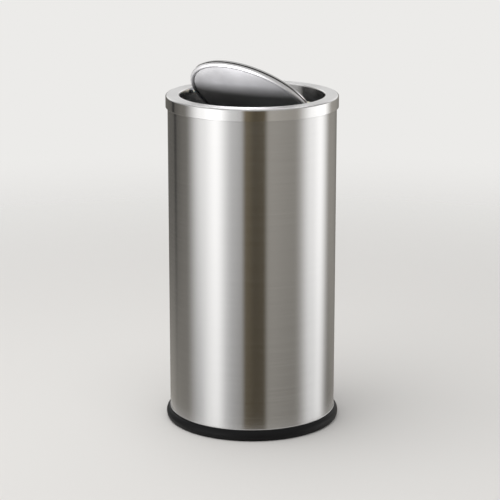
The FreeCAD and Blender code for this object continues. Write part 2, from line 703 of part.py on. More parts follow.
def bail_wire():
    """Half ring of wire that lies over the rim, hooked in through both ears and flattened at its ends."""
    body = new_body("bail_wire")
    path = new_sketch(body, "bail_path", "XY_Plane")
    ring = "bail_ring"
    draw(path, [
        ("bail_hook_end", "0"),
        ("bail_corner_out", "0", "bail_bend", "right"),
        ("bail_arc_out", "-bail_arc_side", ring, "right"),
        ("0", f"-{ring}", ring, "right"),
        ("-bail_arc_out", "-bail_arc_side", "bail_bend", "right"),
        ("-bail_corner_out", "0"),
        ("-bail_hook_end", "0"),
    ], closed=False)
    section = new_sketch(body, "bail_section", "YZ_Plane")
    draw_circle(section, "0", "0", "bail_wire_radius")
    section.AttachmentOffset = Placement(Vector(0, 0, value("bail_hook_end")), Rotation())
    section.setExpression("AttachmentOffset.Base.z", named("bail_hook_end"))
    doc.recompute()
    pipe = body.newObject("PartDesign::AdditivePipe", "bail_rod")
    pipe.Profile = section
    pipe.Spine = path
    doc.recompute()
    ends = new_sketch(body, "bail_end_section", "XY_Plane")
    upset = "bail_wire_radius + bail_upset"
    draw(ends, [
        ("bail_hook_end - bail_upset", "0"),
        ("bail_hook_end", "0"),
        ("bail_hook_end", upset),
        ("bail_hook_end - bail_upset", upset),
    ])
    head = body.newObject("PartDesign::Revolution", "bail_end")
    head.Profile = ends
    head.ReferenceAxis = (ends, ["H_Axis"])
    head.Angle = 360
    doc.recompute()
    far_head = body.newObject("PartDesign::Mirrored", "bail_far_end")
    far_head.Originals = [head]
    far_head.MirrorPlane = (next(item for item in body.Origin.OriginFeatures if item.Role == "YZ_Plane"), [""])
    body.Tip = far_head
    place(body, z="bail_height")
    return body


def bail_grip():
    """Plastic sleeve round the middle of the bail."""
    body = new_body("bail_grip")
    sketch = new_sketch(body, "grip_section", "XZ_Plane")
    draw_circle(sketch, "bail_ring", "0", "bail_grip_radius")
    draw_circle(sketch, "bail_ring", "0", "bail_wire_radius + fit_clearance")
    turn = body.newObject("PartDesign::Revolution", "grip_sleeve")
    turn.Profile = sketch
    turn.ReferenceAxis = (sketch, ["V_Axis"])
    turn.Midplane = True
    turn.setExpression("Angle", named("bail_grip_angle") + " * 1 deg")
    body.Placement = Placement(Vector(0, 0, 0), Rotation(Vector(0, 0, 1), -90))
    place(body, z="bail_height")
    return body


def check(pieces):
    """Stop if any object failed to build or any piece is empty or invalid."""
    doc.recompute()
    for item in doc.Objects:
        assert not {"Invalid", "Error"} & set(item.State), item.Name + " failed"
    for piece in pieces:
        assert not piece.Shape.isNull() and piece.Shape.isValid(), piece.Label + " has no valid shape"


def main():
    pieces = [barrel(), base_plate(), base_ring(), head_ring()]
    pieces += pivot_pieces()
    pieces += [lid_bottom_dish(), lid_top_dome()]
    pieces += lid_inside()
    pieces += [liner_wall(), liner_base(), liner_rim_wire(), liner_ears(), liner_rivets()]
    pieces += [bail_wire(), bail_grip()]
    check(pieces)
    os.makedirs("parts", exist_ok=True)
    for piece in pieces:
        piece.Shape.exportStep(f"parts/{piece.Label}.step")
        print(piece.Label, len(piece.Shape.Solids), "solids", round(piece.Shape.Volume), "mm3")


main()
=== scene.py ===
"""Looks of a round steel waste bin with a tumbling lid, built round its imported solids.

Sections and sizes are in millimetres, and go to metres when a mesh is made.
The lid's two shells are turned level about the Z axis and then tilted on their pivots.
"""

import math

import bmesh
import bpy
from mathutils import Matrix, Vector


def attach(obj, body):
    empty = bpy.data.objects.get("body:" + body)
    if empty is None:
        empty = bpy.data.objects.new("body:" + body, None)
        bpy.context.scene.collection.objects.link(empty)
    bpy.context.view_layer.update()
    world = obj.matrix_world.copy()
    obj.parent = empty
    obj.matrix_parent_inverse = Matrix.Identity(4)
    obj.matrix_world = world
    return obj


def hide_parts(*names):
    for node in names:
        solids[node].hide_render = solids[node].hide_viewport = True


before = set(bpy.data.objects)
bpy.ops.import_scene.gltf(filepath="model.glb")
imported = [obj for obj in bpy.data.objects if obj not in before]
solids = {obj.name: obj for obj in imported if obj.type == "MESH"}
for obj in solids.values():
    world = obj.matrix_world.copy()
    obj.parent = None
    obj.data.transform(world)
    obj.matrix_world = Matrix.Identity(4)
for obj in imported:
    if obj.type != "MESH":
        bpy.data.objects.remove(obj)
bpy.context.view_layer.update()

MM = 0.001

# Sizes of the solids, in millimetres and degrees
CAN_HEIGHT = 595
BARREL_RADIUS = 150
BARREL_WALL = 0.8
BARREL_FOOT = 4
BARREL_CURL = 1.6
CURL_HEIGHT = 592.3
BASE_RADIUS = 157
BASE_HEIGHT = 18
BASE_BELLY = 8
BASE_FOOT = 154
BASE_BORE = 141
BASE_CHANNEL = (148.2, 150.1, 3.9)
BASE_LIP = 152.1
BASE_INNER_LIP = 12
HEAD_RADIUS = 153.5
HEAD_SHEET = 0.8
HEAD_BAND = 21.5
HEAD_EDGE = 3.1
MOUTH_RADIUS = 128.7
MOUTH_EDGE = 2.5
COLLAR_DEPTH = 28
COLLAR_HEM = 6
LID_RADIUS = 115.5
LID_SHEET = 0.8
LID_BEAD = 4.3
LID_BEAD_END = -135
LID_DISH_DEPTH = 27
LID_DISH_EDGE = 6
LID_DOME_HEIGHT = 16
LID_LIP_RADIUS = 113.5
LID_LIP_HEIGHT = 2.5
LID_LIP_EDGE = 2.5
LID_SPIGOT = 4
LID_SPIGOT_RADIUS = 106.8
LID_HOLE = 4.1
LID_TILT = 41
PIVOT_HEIGHT = 588
BUCKET_TOP = 140
BUCKET_FOOT = 136
BUCKET_WALL = 0.7
BUCKET_FLOOR = 22.3
BUCKET_RIM = 546.3
BUCKET_CURL = 2.5
RIVET_HEIGHT = 529.3
RIVET_SPACING = 12
RIVET_RADIUS = 2.2
RIVET_HEAD_RADIUS = 4
RIVET_HEAD = 1.6
RIVET_INSIDE = 136.19
RIVET_OUTSIDE = 139.99
BAIL_HEIGHT = 551.1
BAIL_WIRE = 2.5
BAIL_BEND = 4
BAIL_CORNER = 138.59
BAIL_RING = 142.65
BAIL_HOOK_END = 131.29
BAIL_UPSET = 1.2
SLEEVE_RADIUS = 4.5
SLEEVE_BORE = 2.6
SLEEVE_ANGLE = 40

# What the eye sees at the edges, in millimetres and degrees.
# The lid's dark split is wider than the solids', so that it shows.
SHEET_EDGE = 0.25
LID_SPLIT = 1.5
MOULDED_EDGE = 0.9
SLEEVE_EDGE = 0.8
FOOT_BEAD = 1.1
FOOT_BEAD_SINK = 0.4
FOOT_BEAD_GAP = 0.3
FOOT_BEAD_TURN = 68
UPSET_EDGE = (0.3, 0.4)
UPSET_STEP = 0.2

# How finely the pieces are drawn: steps round, and degrees from point to point of arcs
TURNING_STEPS = 256
RIVET_STEPS = 32
ROD_STEPS = 24
SLEEVE_STEPS = 32
DRILL_STEPS = 48
FLOOR_STEPS = 128
ARC_STEP = 9
BASE_ARC_STEP = 5
BAND_ARC_STEP = 22.5
HEM_ARC_STEP = 15
RIVET_ARC_STEP = 3
BAIL_ARC_STEP = 2
DISH_ARC_STEP = 0.5
DOME_ARC_STEP = 0.28

# Corners that are rounded and creases that stay sharp, in degrees, the share of a run that a corner takes,
# and, in millimetres, long straight runs and points that count as one
SHARP_CORNER = 25
CREASE = 40
CORNER_SHARE = 0.45
LONG_RUN = 3
RUN_GUARD = 0.4
SAME_POINT = 0.0001
SAME_SEAM = 0.001

# The photograph's camera, in metres and degrees, with its lens and sensor in millimetres
CAMERA_SIDE = 33.2
CAMERA_AWAY = 3.4
CAMERA_HEIGHT = 1.1957
CAMERA_TILT = 14.609
CAMERA_YAW = 0.065
CAMERA_LENS = 140.1
CAMERA_SENSOR = 36

# Lamps: width and height in metres with watts, then places in metres and in degrees to the camera's right
TOP_LIGHT = (2.2, 2.2, 36)
TOP_LIGHT_PLACE = (-0.35, -0.5, 2.5)
TOP_LIGHT_AIM = (0, 0, 0.3)
LID_LIGHT = (0.8, 0.5, 102)
LID_LIGHT_SIDE = -48
LID_LIGHT_AWAY = 2
LID_LIGHT_HEIGHT = 0.27
LID_LIGHT_COLOUR = (0.95, 0.95, 1)
RIM_LIGHT = (2.6, 0.5, 6.5)
RIM_LIGHT_SIDE = 180
RIM_LIGHT_AWAY = 1.2
RIM_LIGHT_HEIGHT = 2.6

# Floor, in metres, with the distances over which it fades from sight and from reflections
FLOOR_RADIUS = 3
FLOOR_DROP = 0.0005
FLOOR_FADE = (0.7, 2.4)
FLOOR_MIRROR_FADE = (0.12, 0.24)


def linear(code):
    """Linear colour of an sRGB hex code."""
    parts = [int(code[place:place + 2], 16) / 255 for place in (1, 3, 5)]
    straight = [part / 12.92 if part <= 0.04045 else ((part + 0.055) / 1.055) ** 2.4 for part in parts]
    return (*straight, 1)


def every(size):
    """Texture scale of a pattern that comes again about every so many millimetres."""
    return 1 / (size * MM)


def add(tree, kind, inputs=None, stops=(), **settings):
    """Add a node with its settings, its ramp's stops, and its inputs' values or links from other nodes."""
    node = tree.nodes.new(kind)
    for name, value in settings.items():
        setattr(node, name, value)
    if stops:
        elements = node.color_ramp.elements
        elements.remove(elements[1])
        elements[0].position, elements[0].color = stops[0]
        for place, colour in stops[1:]:
            elements.new(place).color = colour
    for key, value in (inputs or {}).items():
        if isinstance(value, bpy.types.NodeSocket):
            tree.links.new(value, node.inputs[key])
        else:
            node.inputs[key].default_value = value
    return node


def new_material(name):
    """Material with an empty tree, and that tree."""
    material = bpy.data.materials.new(name)
    material.use_nodes = True
    material.node_tree.nodes.clear()
    return material, material.node_tree


# Brushed stainless: cold rolled sheet with belt strokes round the barrel, so that reflections stay sharp
# sideways and smear up and down, with a faint stroke texture and a slight warmth
def brushed_stainless():
    material, tree = new_material("Brushed stainless sheet")
    place = add(tree, "ShaderNodeTexCoord").outputs["Object"]
    # Strokes are 0.1 mm wide on the sheet and drawn 1.6 mm wide to show
    stretched = add(tree, "ShaderNodeMapping", {
        "Vector": place, "Scale": (every(154), every(154), every(1.61))})
    strokes = add(tree, "ShaderNodeTexNoise", {
        "Vector": stretched.outputs["Vector"], "Scale": 1.0, "Detail": 3.0, "Roughness": 0.6})
    # The rolled sheet waves less than a tenth of a millimetre over a hand's width
    broad = add(tree, "ShaderNodeMapping", {
        "Vector": place, "Scale": (every(111), every(111), every(250))})
    waves = add(tree, "ShaderNodeTexNoise", {
        "Vector": broad.outputs["Vector"], "Scale": 1.0, "Detail": 1.0})
    colour = add(tree, "ShaderNodeValToRGB", {"Fac": strokes.outputs["Fac"]}, [
        (0.25, linear("#CDCCCB")), (0.75, linear("#D5D4D3"))])
    roughness = add(tree, "ShaderNodeMapRange", {
        "Value": strokes.outputs["Fac"], "From Min": 0.25, "From Max": 0.75,
        "To Min": 0.17, "To Max": 0.21})
    wavy = add(tree, "ShaderNodeBump", {
        "Height": waves.outputs["Fac"], "Strength": 0.5, "Distance": 0.4 * MM})
    grain = add(tree, "ShaderNodeBump", {
        "Height": strokes.outputs["Fac"], "Strength": 0.12, "Distance": 0.03 * MM,
        "Normal": wavy.outputs["Normal"]})
    round_axis = add(tree, "ShaderNodeTangent", direction_type="RADIAL", axis="Z")
    shader = add(tree, "ShaderNodeBsdfPrincipled", {
        "Base Color": colour.outputs["Color"], "Metallic": 1.0, "Roughness": roughness.outputs["Result"],
        "Normal": grain.outputs["Normal"], "Anisotropic": 0.92, "Anisotropic Rotation": 0.25,
        "Tangent": round_axis.outputs["Tangent"]})
    add(tree, "ShaderNodeOutputMaterial", {"Surface": shader.outputs["BSDF"]})
    return material


# Polished stainless: buffed in rings about the piece's own axis, with a soft haze, from nearly a mirror
# to satin by its blur. The head's flat top is brushed in rings, which smears its reflections in and out
def polished_stainless(name, blur, lift=0, tilt=0, flat_blur=None, grain=0):
    material, tree = new_material(name)
    place = add(tree, "ShaderNodeTexCoord").outputs["Object"]
    own = add(tree, "ShaderNodeMapping", {
        "Vector": place, "Location": (0, 0, lift * MM), "Rotation": (math.radians(tilt), 0, 0)},
        vector_type="TEXTURE")
    flat = add(tree, "ShaderNodeVectorMath", {0: own.outputs["Vector"], 1: (1, 1, 0)}, operation="MULTIPLY")
    out = add(tree, "ShaderNodeVectorMath", {0: flat.outputs["Vector"]}, operation="LENGTH")
    # Buffing rings are finer than 0.1 mm and drawn 2 mm apart to show
    rings = add(tree, "ShaderNodeTexNoise", {
        "W": out.outputs["Value"], "Scale": every(2), "Detail": 2.0}, noise_dimensions="1D")
    haze = add(tree, "ShaderNodeTexNoise", {
        "Vector": own.outputs["Vector"], "Scale": every(45.5), "Detail": 3.0})
    mixed = add(tree, "ShaderNodeMath", {0: rings.outputs["Fac"], 1: haze.outputs["Fac"]}, operation="ADD")
    roughness = add(tree, "ShaderNodeMapRange", {
        "Value": mixed.outputs["Value"], "From Min": 0.6, "From Max": 1.4,
        "To Min": blur - 0.03, "To Max": blur + 0.03})
    sheen = roughness.outputs["Result"]
    if flat_blur:
        facing = add(tree, "ShaderNodeNewGeometry")
        up = add(tree, "ShaderNodeSeparateXYZ", {"Vector": facing.outputs["Normal"]})
        level = add(tree, "ShaderNodeMapRange", {
            "Value": up.outputs["Z"], "From Min": 0.9, "From Max": 0.99, "To Max": flat_blur - blur})
        softened = add(tree, "ShaderNodeMath", {0: sheen, 1: level.outputs["Result"]}, operation="ADD")
        sheen = softened.outputs["Value"]
    colour = add(tree, "ShaderNodeValToRGB", {"Fac": haze.outputs["Fac"]}, [
        (0.3, linear("#DAD9D8")), (0.7, linear("#E2E1E0"))])
    bump = add(tree, "ShaderNodeBump", {
        "Height": rings.outputs["Fac"], "Strength": 0.15, "Distance": 0.03 * MM})
    round_axis = add(tree, "ShaderNodeTangent", direction_type="RADIAL", axis="Z")
    shader = add(tree, "ShaderNodeBsdfPrincipled", {
        "Base Color": colour.outputs["Color"], "Metallic": 1.0, "Roughness": sheen,
        "Normal": bump.outputs["Normal"], "Anisotropic": grain, "Anisotropic Rotation": 0.25,
        "Tangent": round_axis.outputs["Tangent"]})
    add(tree, "ShaderNodeOutputMaterial", {"Surface": shader.outputs["BSDF"]})
    return material


# Hot-dip galvanised sheet: zinc frozen in flat crystals, each a slightly different grey and gloss
def galvanised_sheet():
    material, tree = new_material("Hot-dip galvanised sheet")
    place = add(tree, "ShaderNodeTexCoord").outputs["Object"]
    warped = add(tree, "ShaderNodeTexNoise", {"Vector": place, "Scale": every(11.1), "Detail": 2.0})
    bent = add(tree, "ShaderNodeMix", {
        "Factor": 0.006, 4: place, 5: warped.outputs["Color"]}, data_type="VECTOR")
    # Crystals are about 12 mm across
    spangle = add(tree, "ShaderNodeTexVoronoi", {"Vector": bent.outputs[1], "Scale": every(12)})
    tone = add(tree, "ShaderNodeSeparateColor", {"Color": spangle.outputs["Color"]})
    colour = add(tree, "ShaderNodeValToRGB", {"Fac": tone.outputs["Red"]}, [
        (0, linear("#979B9D")), (0.5, linear("#A6AAAC")), (1, linear("#B9BCBD"))])
    roughness = add(tree, "ShaderNodeMapRange", {
        "Value": tone.outputs["Green"], "To Min": 0.34, "To Max": 0.52})
    bump = add(tree, "ShaderNodeBump", {
        "Height": spangle.outputs["Distance"], "Strength": 0.2, "Distance": 0.2 * MM})
    shader = add(tree, "ShaderNodeBsdfPrincipled", {
        "Base Color": colour.outputs["Color"], "Metallic": 1.0, "Roughness": roughness.outputs["Result"],
        "Normal": bump.outputs["Normal"]})
    add(tree, "ShaderNodeOutputMaterial", {"Surface": shader.outputs["BSDF"]})
    return material


# Galvanised wire: drawn and dipped, dull grey with runs of thicker zinc along it
def galvanised_wire():
    material, tree = new_material("Galvanised wire")
    place = add(tree, "ShaderNodeTexCoord").outputs["Object"]
    runs = add(tree, "ShaderNodeTexNoise", {"Vector": place, "Scale": every(6.25), "Detail": 4.0})
    colour = add(tree, "ShaderNodeValToRGB", {"Fac": runs.outputs["Fac"]}, [
        (0.3, linear("#8D9193")), (0.7, linear("#B0B4B6"))])
    roughness = add(tree, "ShaderNodeMapRange", {
        "Value": runs.outputs["Fac"], "To Min": 0.3, "To Max": 0.55})
    bump = add(tree, "ShaderNodeBump", {
        "Height": runs.outputs["Fac"], "Strength": 0.2, "Distance": 0.3 * MM})
    shader = add(tree, "ShaderNodeBsdfPrincipled", {
        "Base Color": colour.outputs["Color"], "Metallic": 1.0, "Roughness": roughness.outputs["Result"],
        "Normal": bump.outputs["Normal"]})
    add(tree, "ShaderNodeOutputMaterial", {"Surface": shader.outputs["BSDF"]})
    return material


# Bright zinc plate: barrel-plated fasteners, cool and shiny with small knocks
def bright_zinc():
    material, tree = new_material("Bright zinc plate")
    place = add(tree, "ShaderNodeTexCoord").outputs["Object"]
    knocks = add(tree, "ShaderNodeTexNoise", {"Vector": place, "Scale": every(2.38), "Detail": 2.0})
    colour = add(tree, "ShaderNodeValToRGB", {"Fac": knocks.outputs["Fac"]}, [
        (0.35, linear("#B9BDC4")), (0.65, linear("#CBCED3"))])
    roughness = add(tree, "ShaderNodeMapRange", {
        "Value": knocks.outputs["Fac"], "To Min": 0.16, "To Max": 0.36})
    shader = add(tree, "ShaderNodeBsdfPrincipled", {
        "Base Color": colour.outputs["Color"], "Metallic": 1.0, "Roughness": roughness.outputs["Result"]})
    add(tree, "ShaderNodeOutputMaterial", {"Surface": shader.outputs["BSDF"]})
    return material


# Cast iron: sand-cast skin, dark and grainy with a trace of rust
def cast_iron():
    material, tree = new_material("Cast iron")
    place = add(tree, "ShaderNodeTexCoord").outputs["Object"]
    # Grains of the sand are about 0.3 mm and drawn 1.1 mm wide to show
    sand = add(tree, "ShaderNodeTexNoise", {"Vector": place, "Scale": every(1.11), "Detail": 3.0})
    rust = add(tree, "ShaderNodeTexNoise", {"Vector": place, "Scale": every(25), "Detail": 4.0})
    colour = add(tree, "ShaderNodeValToRGB", {"Fac": rust.outputs["Fac"]}, [
        (0.45, linear("#34353A")), (0.75, linear("#4A3F38"))])
    bump = add(tree, "ShaderNodeBump", {
        "Height": sand.outputs["Fac"], "Strength": 0.5, "Distance": 0.4 * MM})
    shader = add(tree, "ShaderNodeBsdfPrincipled", {
        "Base Color": colour.outputs["Color"], "Metallic": 0.6, "Roughness": 0.62,
        "Normal": bump.outputs["Normal"]})
    add(tree, "ShaderNodeOutputMaterial", {"Surface": shader.outputs["BSDF"]})
    return material


# Natural nylon: moulded, milky and slightly see-through at thin edges
def natural_nylon():
    material, tree = new_material("Natural nylon")
    place = add(tree, "ShaderNodeTexCoord").outputs["Object"]
    cloud = add(tree, "ShaderNodeTexNoise", {"Vector": place, "Scale": every(3.85), "Detail": 2.0})
    colour = add(tree, "ShaderNodeValToRGB", {"Fac": cloud.outputs["Fac"]}, [
        (0.3, linear("#DAD5C6")), (0.7, linear("#E6E2D6"))])
    shader = add(tree, "ShaderNodeBsdfPrincipled", {
        "Base Color": colour.outputs["Color"], "Roughness": 0.42, "IOR": 1.53,
        "Subsurface Weight": 0.15, "Subsurface Scale": 2 * MM})
    add(tree, "ShaderNodeOutputMaterial", {"Surface": shader.outputs["BSDF"]})
    return material


# Black vinyl: injection moulded ring with a fine matt grain that catches a soft sheen on its belly
def black_vinyl():
    material, tree = new_material("Black moulded vinyl")
    place = add(tree, "ShaderNodeTexCoord").outputs["Object"]
    # The mould's spark grain is about 0.3 mm and drawn 0.9 mm wide to show
    grain = add(tree, "ShaderNodeTexNoise", {"Vector": place, "Scale": every(0.91), "Detail": 2.0})
    flattened = add(tree, "ShaderNodeMapping", {
        "Vector": place, "Scale": (every(71.4), every(71.4), every(8.33))})
    scuffs = add(tree, "ShaderNodeTexNoise", {
        "Vector": flattened.outputs["Vector"], "Scale": 1.0, "Detail": 4.0})
    colour = add(tree, "ShaderNodeValToRGB", {"Fac": scuffs.outputs["Fac"]}, [
        (0.35, linear("#0B0B0C")), (0.75, linear("#131314"))])
    roughness = add(tree, "ShaderNodeMapRange", {
        "Value": scuffs.outputs["Fac"], "To Min": 0.4, "To Max": 0.56})
    bump = add(tree, "ShaderNodeBump", {
        "Height": grain.outputs["Fac"], "Strength": 0.2, "Distance": 0.08 * MM})
    shader = add(tree, "ShaderNodeBsdfPrincipled", {
        "Base Color": colour.outputs["Color"], "Roughness": roughness.outputs["Result"],
        "Specular IOR Level": 0.22, "Normal": bump.outputs["Normal"]})
    add(tree, "ShaderNodeOutputMaterial", {"Surface": shader.outputs["BSDF"]})
    return material


# Black sleeve: extruded soft plastic, evenly dull with fine lines from the die
def black_sleeve():
    material, tree = new_material("Black extruded sleeve")
    place = add(tree, "ShaderNodeTexCoord").outputs["Object"]
    # Lines are 0.2 mm wide on the sleeve and drawn 1.1 mm wide to show
    drawn = add(tree, "ShaderNodeMapping", {
        "Vector": place, "Scale": (every(25), every(1.11), every(1.11))})
    lines = add(tree, "ShaderNodeTexNoise", {
        "Vector": drawn.outputs["Vector"], "Scale": 1.0, "Detail": 2.0})
    colour = add(tree, "ShaderNodeValToRGB", {"Fac": lines.outputs["Fac"]}, [
        (0.3, linear("#1B1B1C")), (0.7, linear("#252526"))])
    bump = add(tree, "ShaderNodeBump", {
        "Height": lines.outputs["Fac"], "Strength": 0.2, "Distance": 0.1 * MM})
    shader = add(tree, "ShaderNodeBsdfPrincipled", {
        "Base Color": colour.outputs["Color"], "Roughness": 0.5, "Normal": bump.outputs["Normal"]})
    add(tree, "ShaderNodeOutputMaterial", {"Surface": shader.outputs["BSDF"]})
    return material


def arc(centre, radius, start, end, step=ARC_STEP):
    """Points of an arc in a section, its angles in degrees from outwards towards up."""
    count = max(2, math.ceil(abs(end - start) / step))
    turns = [math.radians(start + (end - start) * index / count) for index in range(count + 1)]
    return [(centre[0] + radius * math.cos(turn), centre[1] + radius * math.sin(turn)) for turn in turns]


def eased(points, edge, closed=True):
    """Section with its sharp corners rounded, and with points near the ends of its long straight runs.

    Those points keep flat faces flat where smooth shading would bend them towards the rounded edges.
    """
    points = [Vector(point) for point in points]
    points = [point for index, point in enumerate(points)
              if (point - points[index - 1]).length > SAME_POINT]
    rounded = []
    for index, point in enumerate(points):
        before = points[index - 1] - point
        after = points[(index + 1) % len(points)] - point
        inner = closed or 0 < index < len(points) - 1
        if inner and math.degrees(before.angle(-after)) > SHARP_CORNER:
            cut = min(edge, CORNER_SHARE * before.length, CORNER_SHARE * after.length)
            start = point + before.normalized() * cut
            end = point + after.normalized() * cut
            for part in (0, 0.25, 0.5, 0.75, 1):
                rounded.append(start * (1 - part) ** 2 + point * 2 * part * (1 - part) + end * part ** 2)
        else:
            rounded.append(point)
    outline = []
    for index, point in enumerate(rounded):
        outline.append(point)
        if not closed and index == len(rounded) - 1:
            break
        run = rounded[(index + 1) % len(rounded)] - point
        if run.length > LONG_RUN:
            outline.append(point + run.normalized() * RUN_GUARD)
            outline.append(point + run - run.normalized() * RUN_GUARD)
    return outline


def geometry_tree(name, inputs):
    """Empty Geometry Nodes tree with named inputs, and its group input node."""
    tree = bpy.data.node_groups.new(name, "GeometryNodeTree")
    for label, kind in inputs:
        tree.interface.new_socket(label, in_out="INPUT", socket_type=kind)
    tree.interface.new_socket("Piece", in_out="OUTPUT", socket_type="NodeSocketGeometry")
    return tree, add(tree, "NodeGroupInput")


def end_tree(tree, start, geometry):
    """Close a tree with real geometry, smooth faces and its finish."""
    real = add(tree, "GeometryNodeRealizeInstances", {"Geometry": geometry})
    smooth = add(tree, "GeometryNodeSetShadeSmooth", {"Geometry": real.outputs["Geometry"]})
    coated = add(tree, "GeometryNodeSetMaterial", {
        "Geometry": smooth.outputs["Geometry"], "Material": start.outputs["Finish"]})
    add(tree, "NodeGroupOutput", {"Piece": coated.outputs["Geometry"]})
    return tree


def turning_tree():
    """Sweeps a section, drawn flat and measured from the turning radius, once round the Z axis."""
    tree, start = geometry_tree("Turn a section", [
        ("Section", "NodeSocketGeometry"), ("Turning radius", "NodeSocketFloat"),
        ("Steps", "NodeSocketInt"), ("Finish", "NodeSocketMaterial")])
    ring = add(tree, "GeometryNodeCurvePrimitiveCircle", {
        "Resolution": start.outputs["Steps"], "Radius": start.outputs["Turning radius"]})
    upright = add(tree, "GeometryNodeSetCurveNormal", {"Curve": ring.outputs["Curve"]}, mode="Z_UP")
    section = add(tree, "GeometryNodeMeshToCurve", {"Mesh": start.outputs["Section"]})
    swept = add(tree, "GeometryNodeCurveToMesh", {
        "Curve": upright.outputs["Curve"], "Profile Curve": section.outputs["Curve"]})
    joined = add(tree, "GeometryNodeMergeByDistance", {
        "Geometry": swept.outputs["Mesh"], "Distance": SAME_SEAM * MM})
    return end_tree(tree, start, joined.outputs["Geometry"])


def wire_tree():
    """Draws round wire along a path, as thick at each point as its thickness says."""
    tree, start = geometry_tree("Draw a wire", [
        ("Path", "NodeSocketGeometry"), ("Steps", "NodeSocketInt"), ("Finish", "NodeSocketMaterial")])
    thickness = add(tree, "GeometryNodeInputNamedAttribute", {"Name": "thickness"}, data_type="FLOAT")
    path = add(tree, "GeometryNodeMeshToCurve", {"Mesh": start.outputs["Path"]})
    ring = add(tree, "GeometryNodeCurvePrimitiveCircle", {
        "Resolution": start.outputs["Steps"], "Radius": 1.0})
    drawn = add(tree, "GeometryNodeCurveToMesh", {
        "Curve": path.outputs["Curve"], "Profile Curve": ring.outputs["Curve"],
        "Scale": thickness.outputs["Attribute"], "Fill Caps": True})
    return end_tree(tree, start, drawn.outputs["Mesh"])


def fastener_tree():
    """Sets one fastener at each point."""
    tree, start = geometry_tree("Set fasteners", [
        ("Places", "NodeSocketGeometry"), ("Fastener", "NodeSocketObject"),
        ("Finish", "NodeSocketMaterial")])
    one = add(tree, "GeometryNodeObjectInfo", {"Object": start.outputs["Fastener"]})
    spread = add(tree, "GeometryNodeInstanceOnPoints", {
        "Points": start.outputs["Places"], "Instance": one.outputs["Geometry"]})
    return end_tree(tree, start, spread.outputs["Instances"])


def new_object(name, points, edges=(), faces=()):
    """Object in the scene with a mesh of points, edges and faces."""
    mesh = bpy.data.meshes.new(name)
    mesh.from_pydata(points, edges, faces)
    piece = bpy.data.objects.new(name, mesh)
    bpy.context.scene.collection.objects.link(piece)
    return piece


def chain(count, closed):
    """Edges from each point to the next, and from the last to the first if closed."""
    return [(index, (index + 1) % count) for index in range(count if closed else count - 1)]


def fix_mesh(piece):
    """Swap a piece's modifiers for the plain mesh that they make, closed and facing outwards."""
    evaluated = piece.evaluated_get(bpy.context.evaluated_depsgraph_get())
    mesh = bpy.data.meshes.new_from_object(evaluated)
    piece.modifiers.clear()
    piece.data = mesh
    shell = bmesh.new()
    shell.from_mesh(mesh)
    bmesh.ops.remove_doubles(shell, verts=shell.verts, dist=SAME_POINT * MM)
    bmesh.ops.recalc_face_normals(shell, faces=shell.faces)
    shell.to_mesh(mesh)
    shell.free()
    mesh.set_sharp_from_angle(angle=math.radians(CREASE))


def grow(piece, tree, inputs):
    """Run a Geometry Nodes tree on a piece, with its inputs given by their labels."""
    modifier = piece.modifiers.new(tree.name, "NODES")
    modifier.node_group = tree
    for item in tree.interface.items_tree:
        if item.in_out == "INPUT" and item.name in inputs:
            modifier[item.identifier] = inputs[item.name]
    fix_mesh(piece)


def turned(name, section, finish, edge=SHEET_EDGE, closed=True, steps=TURNING_STEPS):
    """Piece turned from a section of (out, up) points."""
    outline = eased(section, edge, closed)
    turning_radius = max(point.x for point in outline)
    points = [((point.x - turning_radius) * MM, -point.y * MM, 0) for point in outline]
    piece = new_object(name, points, chain(len(points), closed))
    grow(piece, trees["turning"], {
        "Turning radius": turning_radius * MM, "Steps": steps, "Finish": finish})
    return piece


def stand_for(piece, body, slot, *nodes):
    """Let a piece move with a body in the place of its solids."""
    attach(piece, body)
    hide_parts(*nodes)


def barrel(finish):
    """Brushed tube with its top edge rolled outwards and a bright bead where it meets the base ring."""
    bore = BARREL_RADIUS - BARREL_WALL
    curl = (bore + BARREL_CURL, CURL_HEIGHT)
    bead = (BARREL_RADIUS - FOOT_BEAD_SINK, BASE_HEIGHT + FOOT_BEAD_GAP + FOOT_BEAD)
    section = [(bore, BARREL_FOOT)]
    section += arc(curl, BARREL_CURL, 180, -90)
    section += arc(curl, BARREL_CURL - BARREL_WALL, -90, 180)
    section += arc(bead, FOOT_BEAD, FOOT_BEAD_TURN, -FOOT_BEAD_TURN)
    section += [(BARREL_RADIUS, BARREL_FOOT)]
    piece = turned("brushed_barrel", section, finish)
    stand_for(piece, "can", "brushed_stainless", "barrel")


def base_ring(finish):
    """Moulded ring with a rounded belly and a channel for the barrel's foot."""
    inside, outside, floor = BASE_CHANNEL
    out = BASE_RADIUS - BASE_FOOT
    foot = (out ** 2 + BASE_BELLY ** 2) / (2 * out)
    back = BASE_RADIUS - BASE_LIP
    rise = BASE_HEIGHT - BASE_BELLY
    lip = (back ** 2 + rise ** 2) / (2 * back)
    under = math.degrees(math.asin(BASE_BELLY / foot))
    over = math.degrees(math.asin(rise / lip))
    section = [(BASE_BORE, 0)]
    section += arc((BASE_RADIUS - foot, BASE_BELLY), foot, -under, 0, BASE_ARC_STEP)
    section += arc((BASE_RADIUS - lip, BASE_BELLY), lip, 0, over, BASE_ARC_STEP)
    section += [(outside, BASE_HEIGHT), (outside, floor), (inside, floor), (inside, BASE_INNER_LIP),
                (BASE_BORE, BASE_INNER_LIP)]
    piece = turned("moulded_base_ring", section, finish, MOULDED_EDGE)
    stand_for(piece, "can", "black_base_plastic", "base_ring")


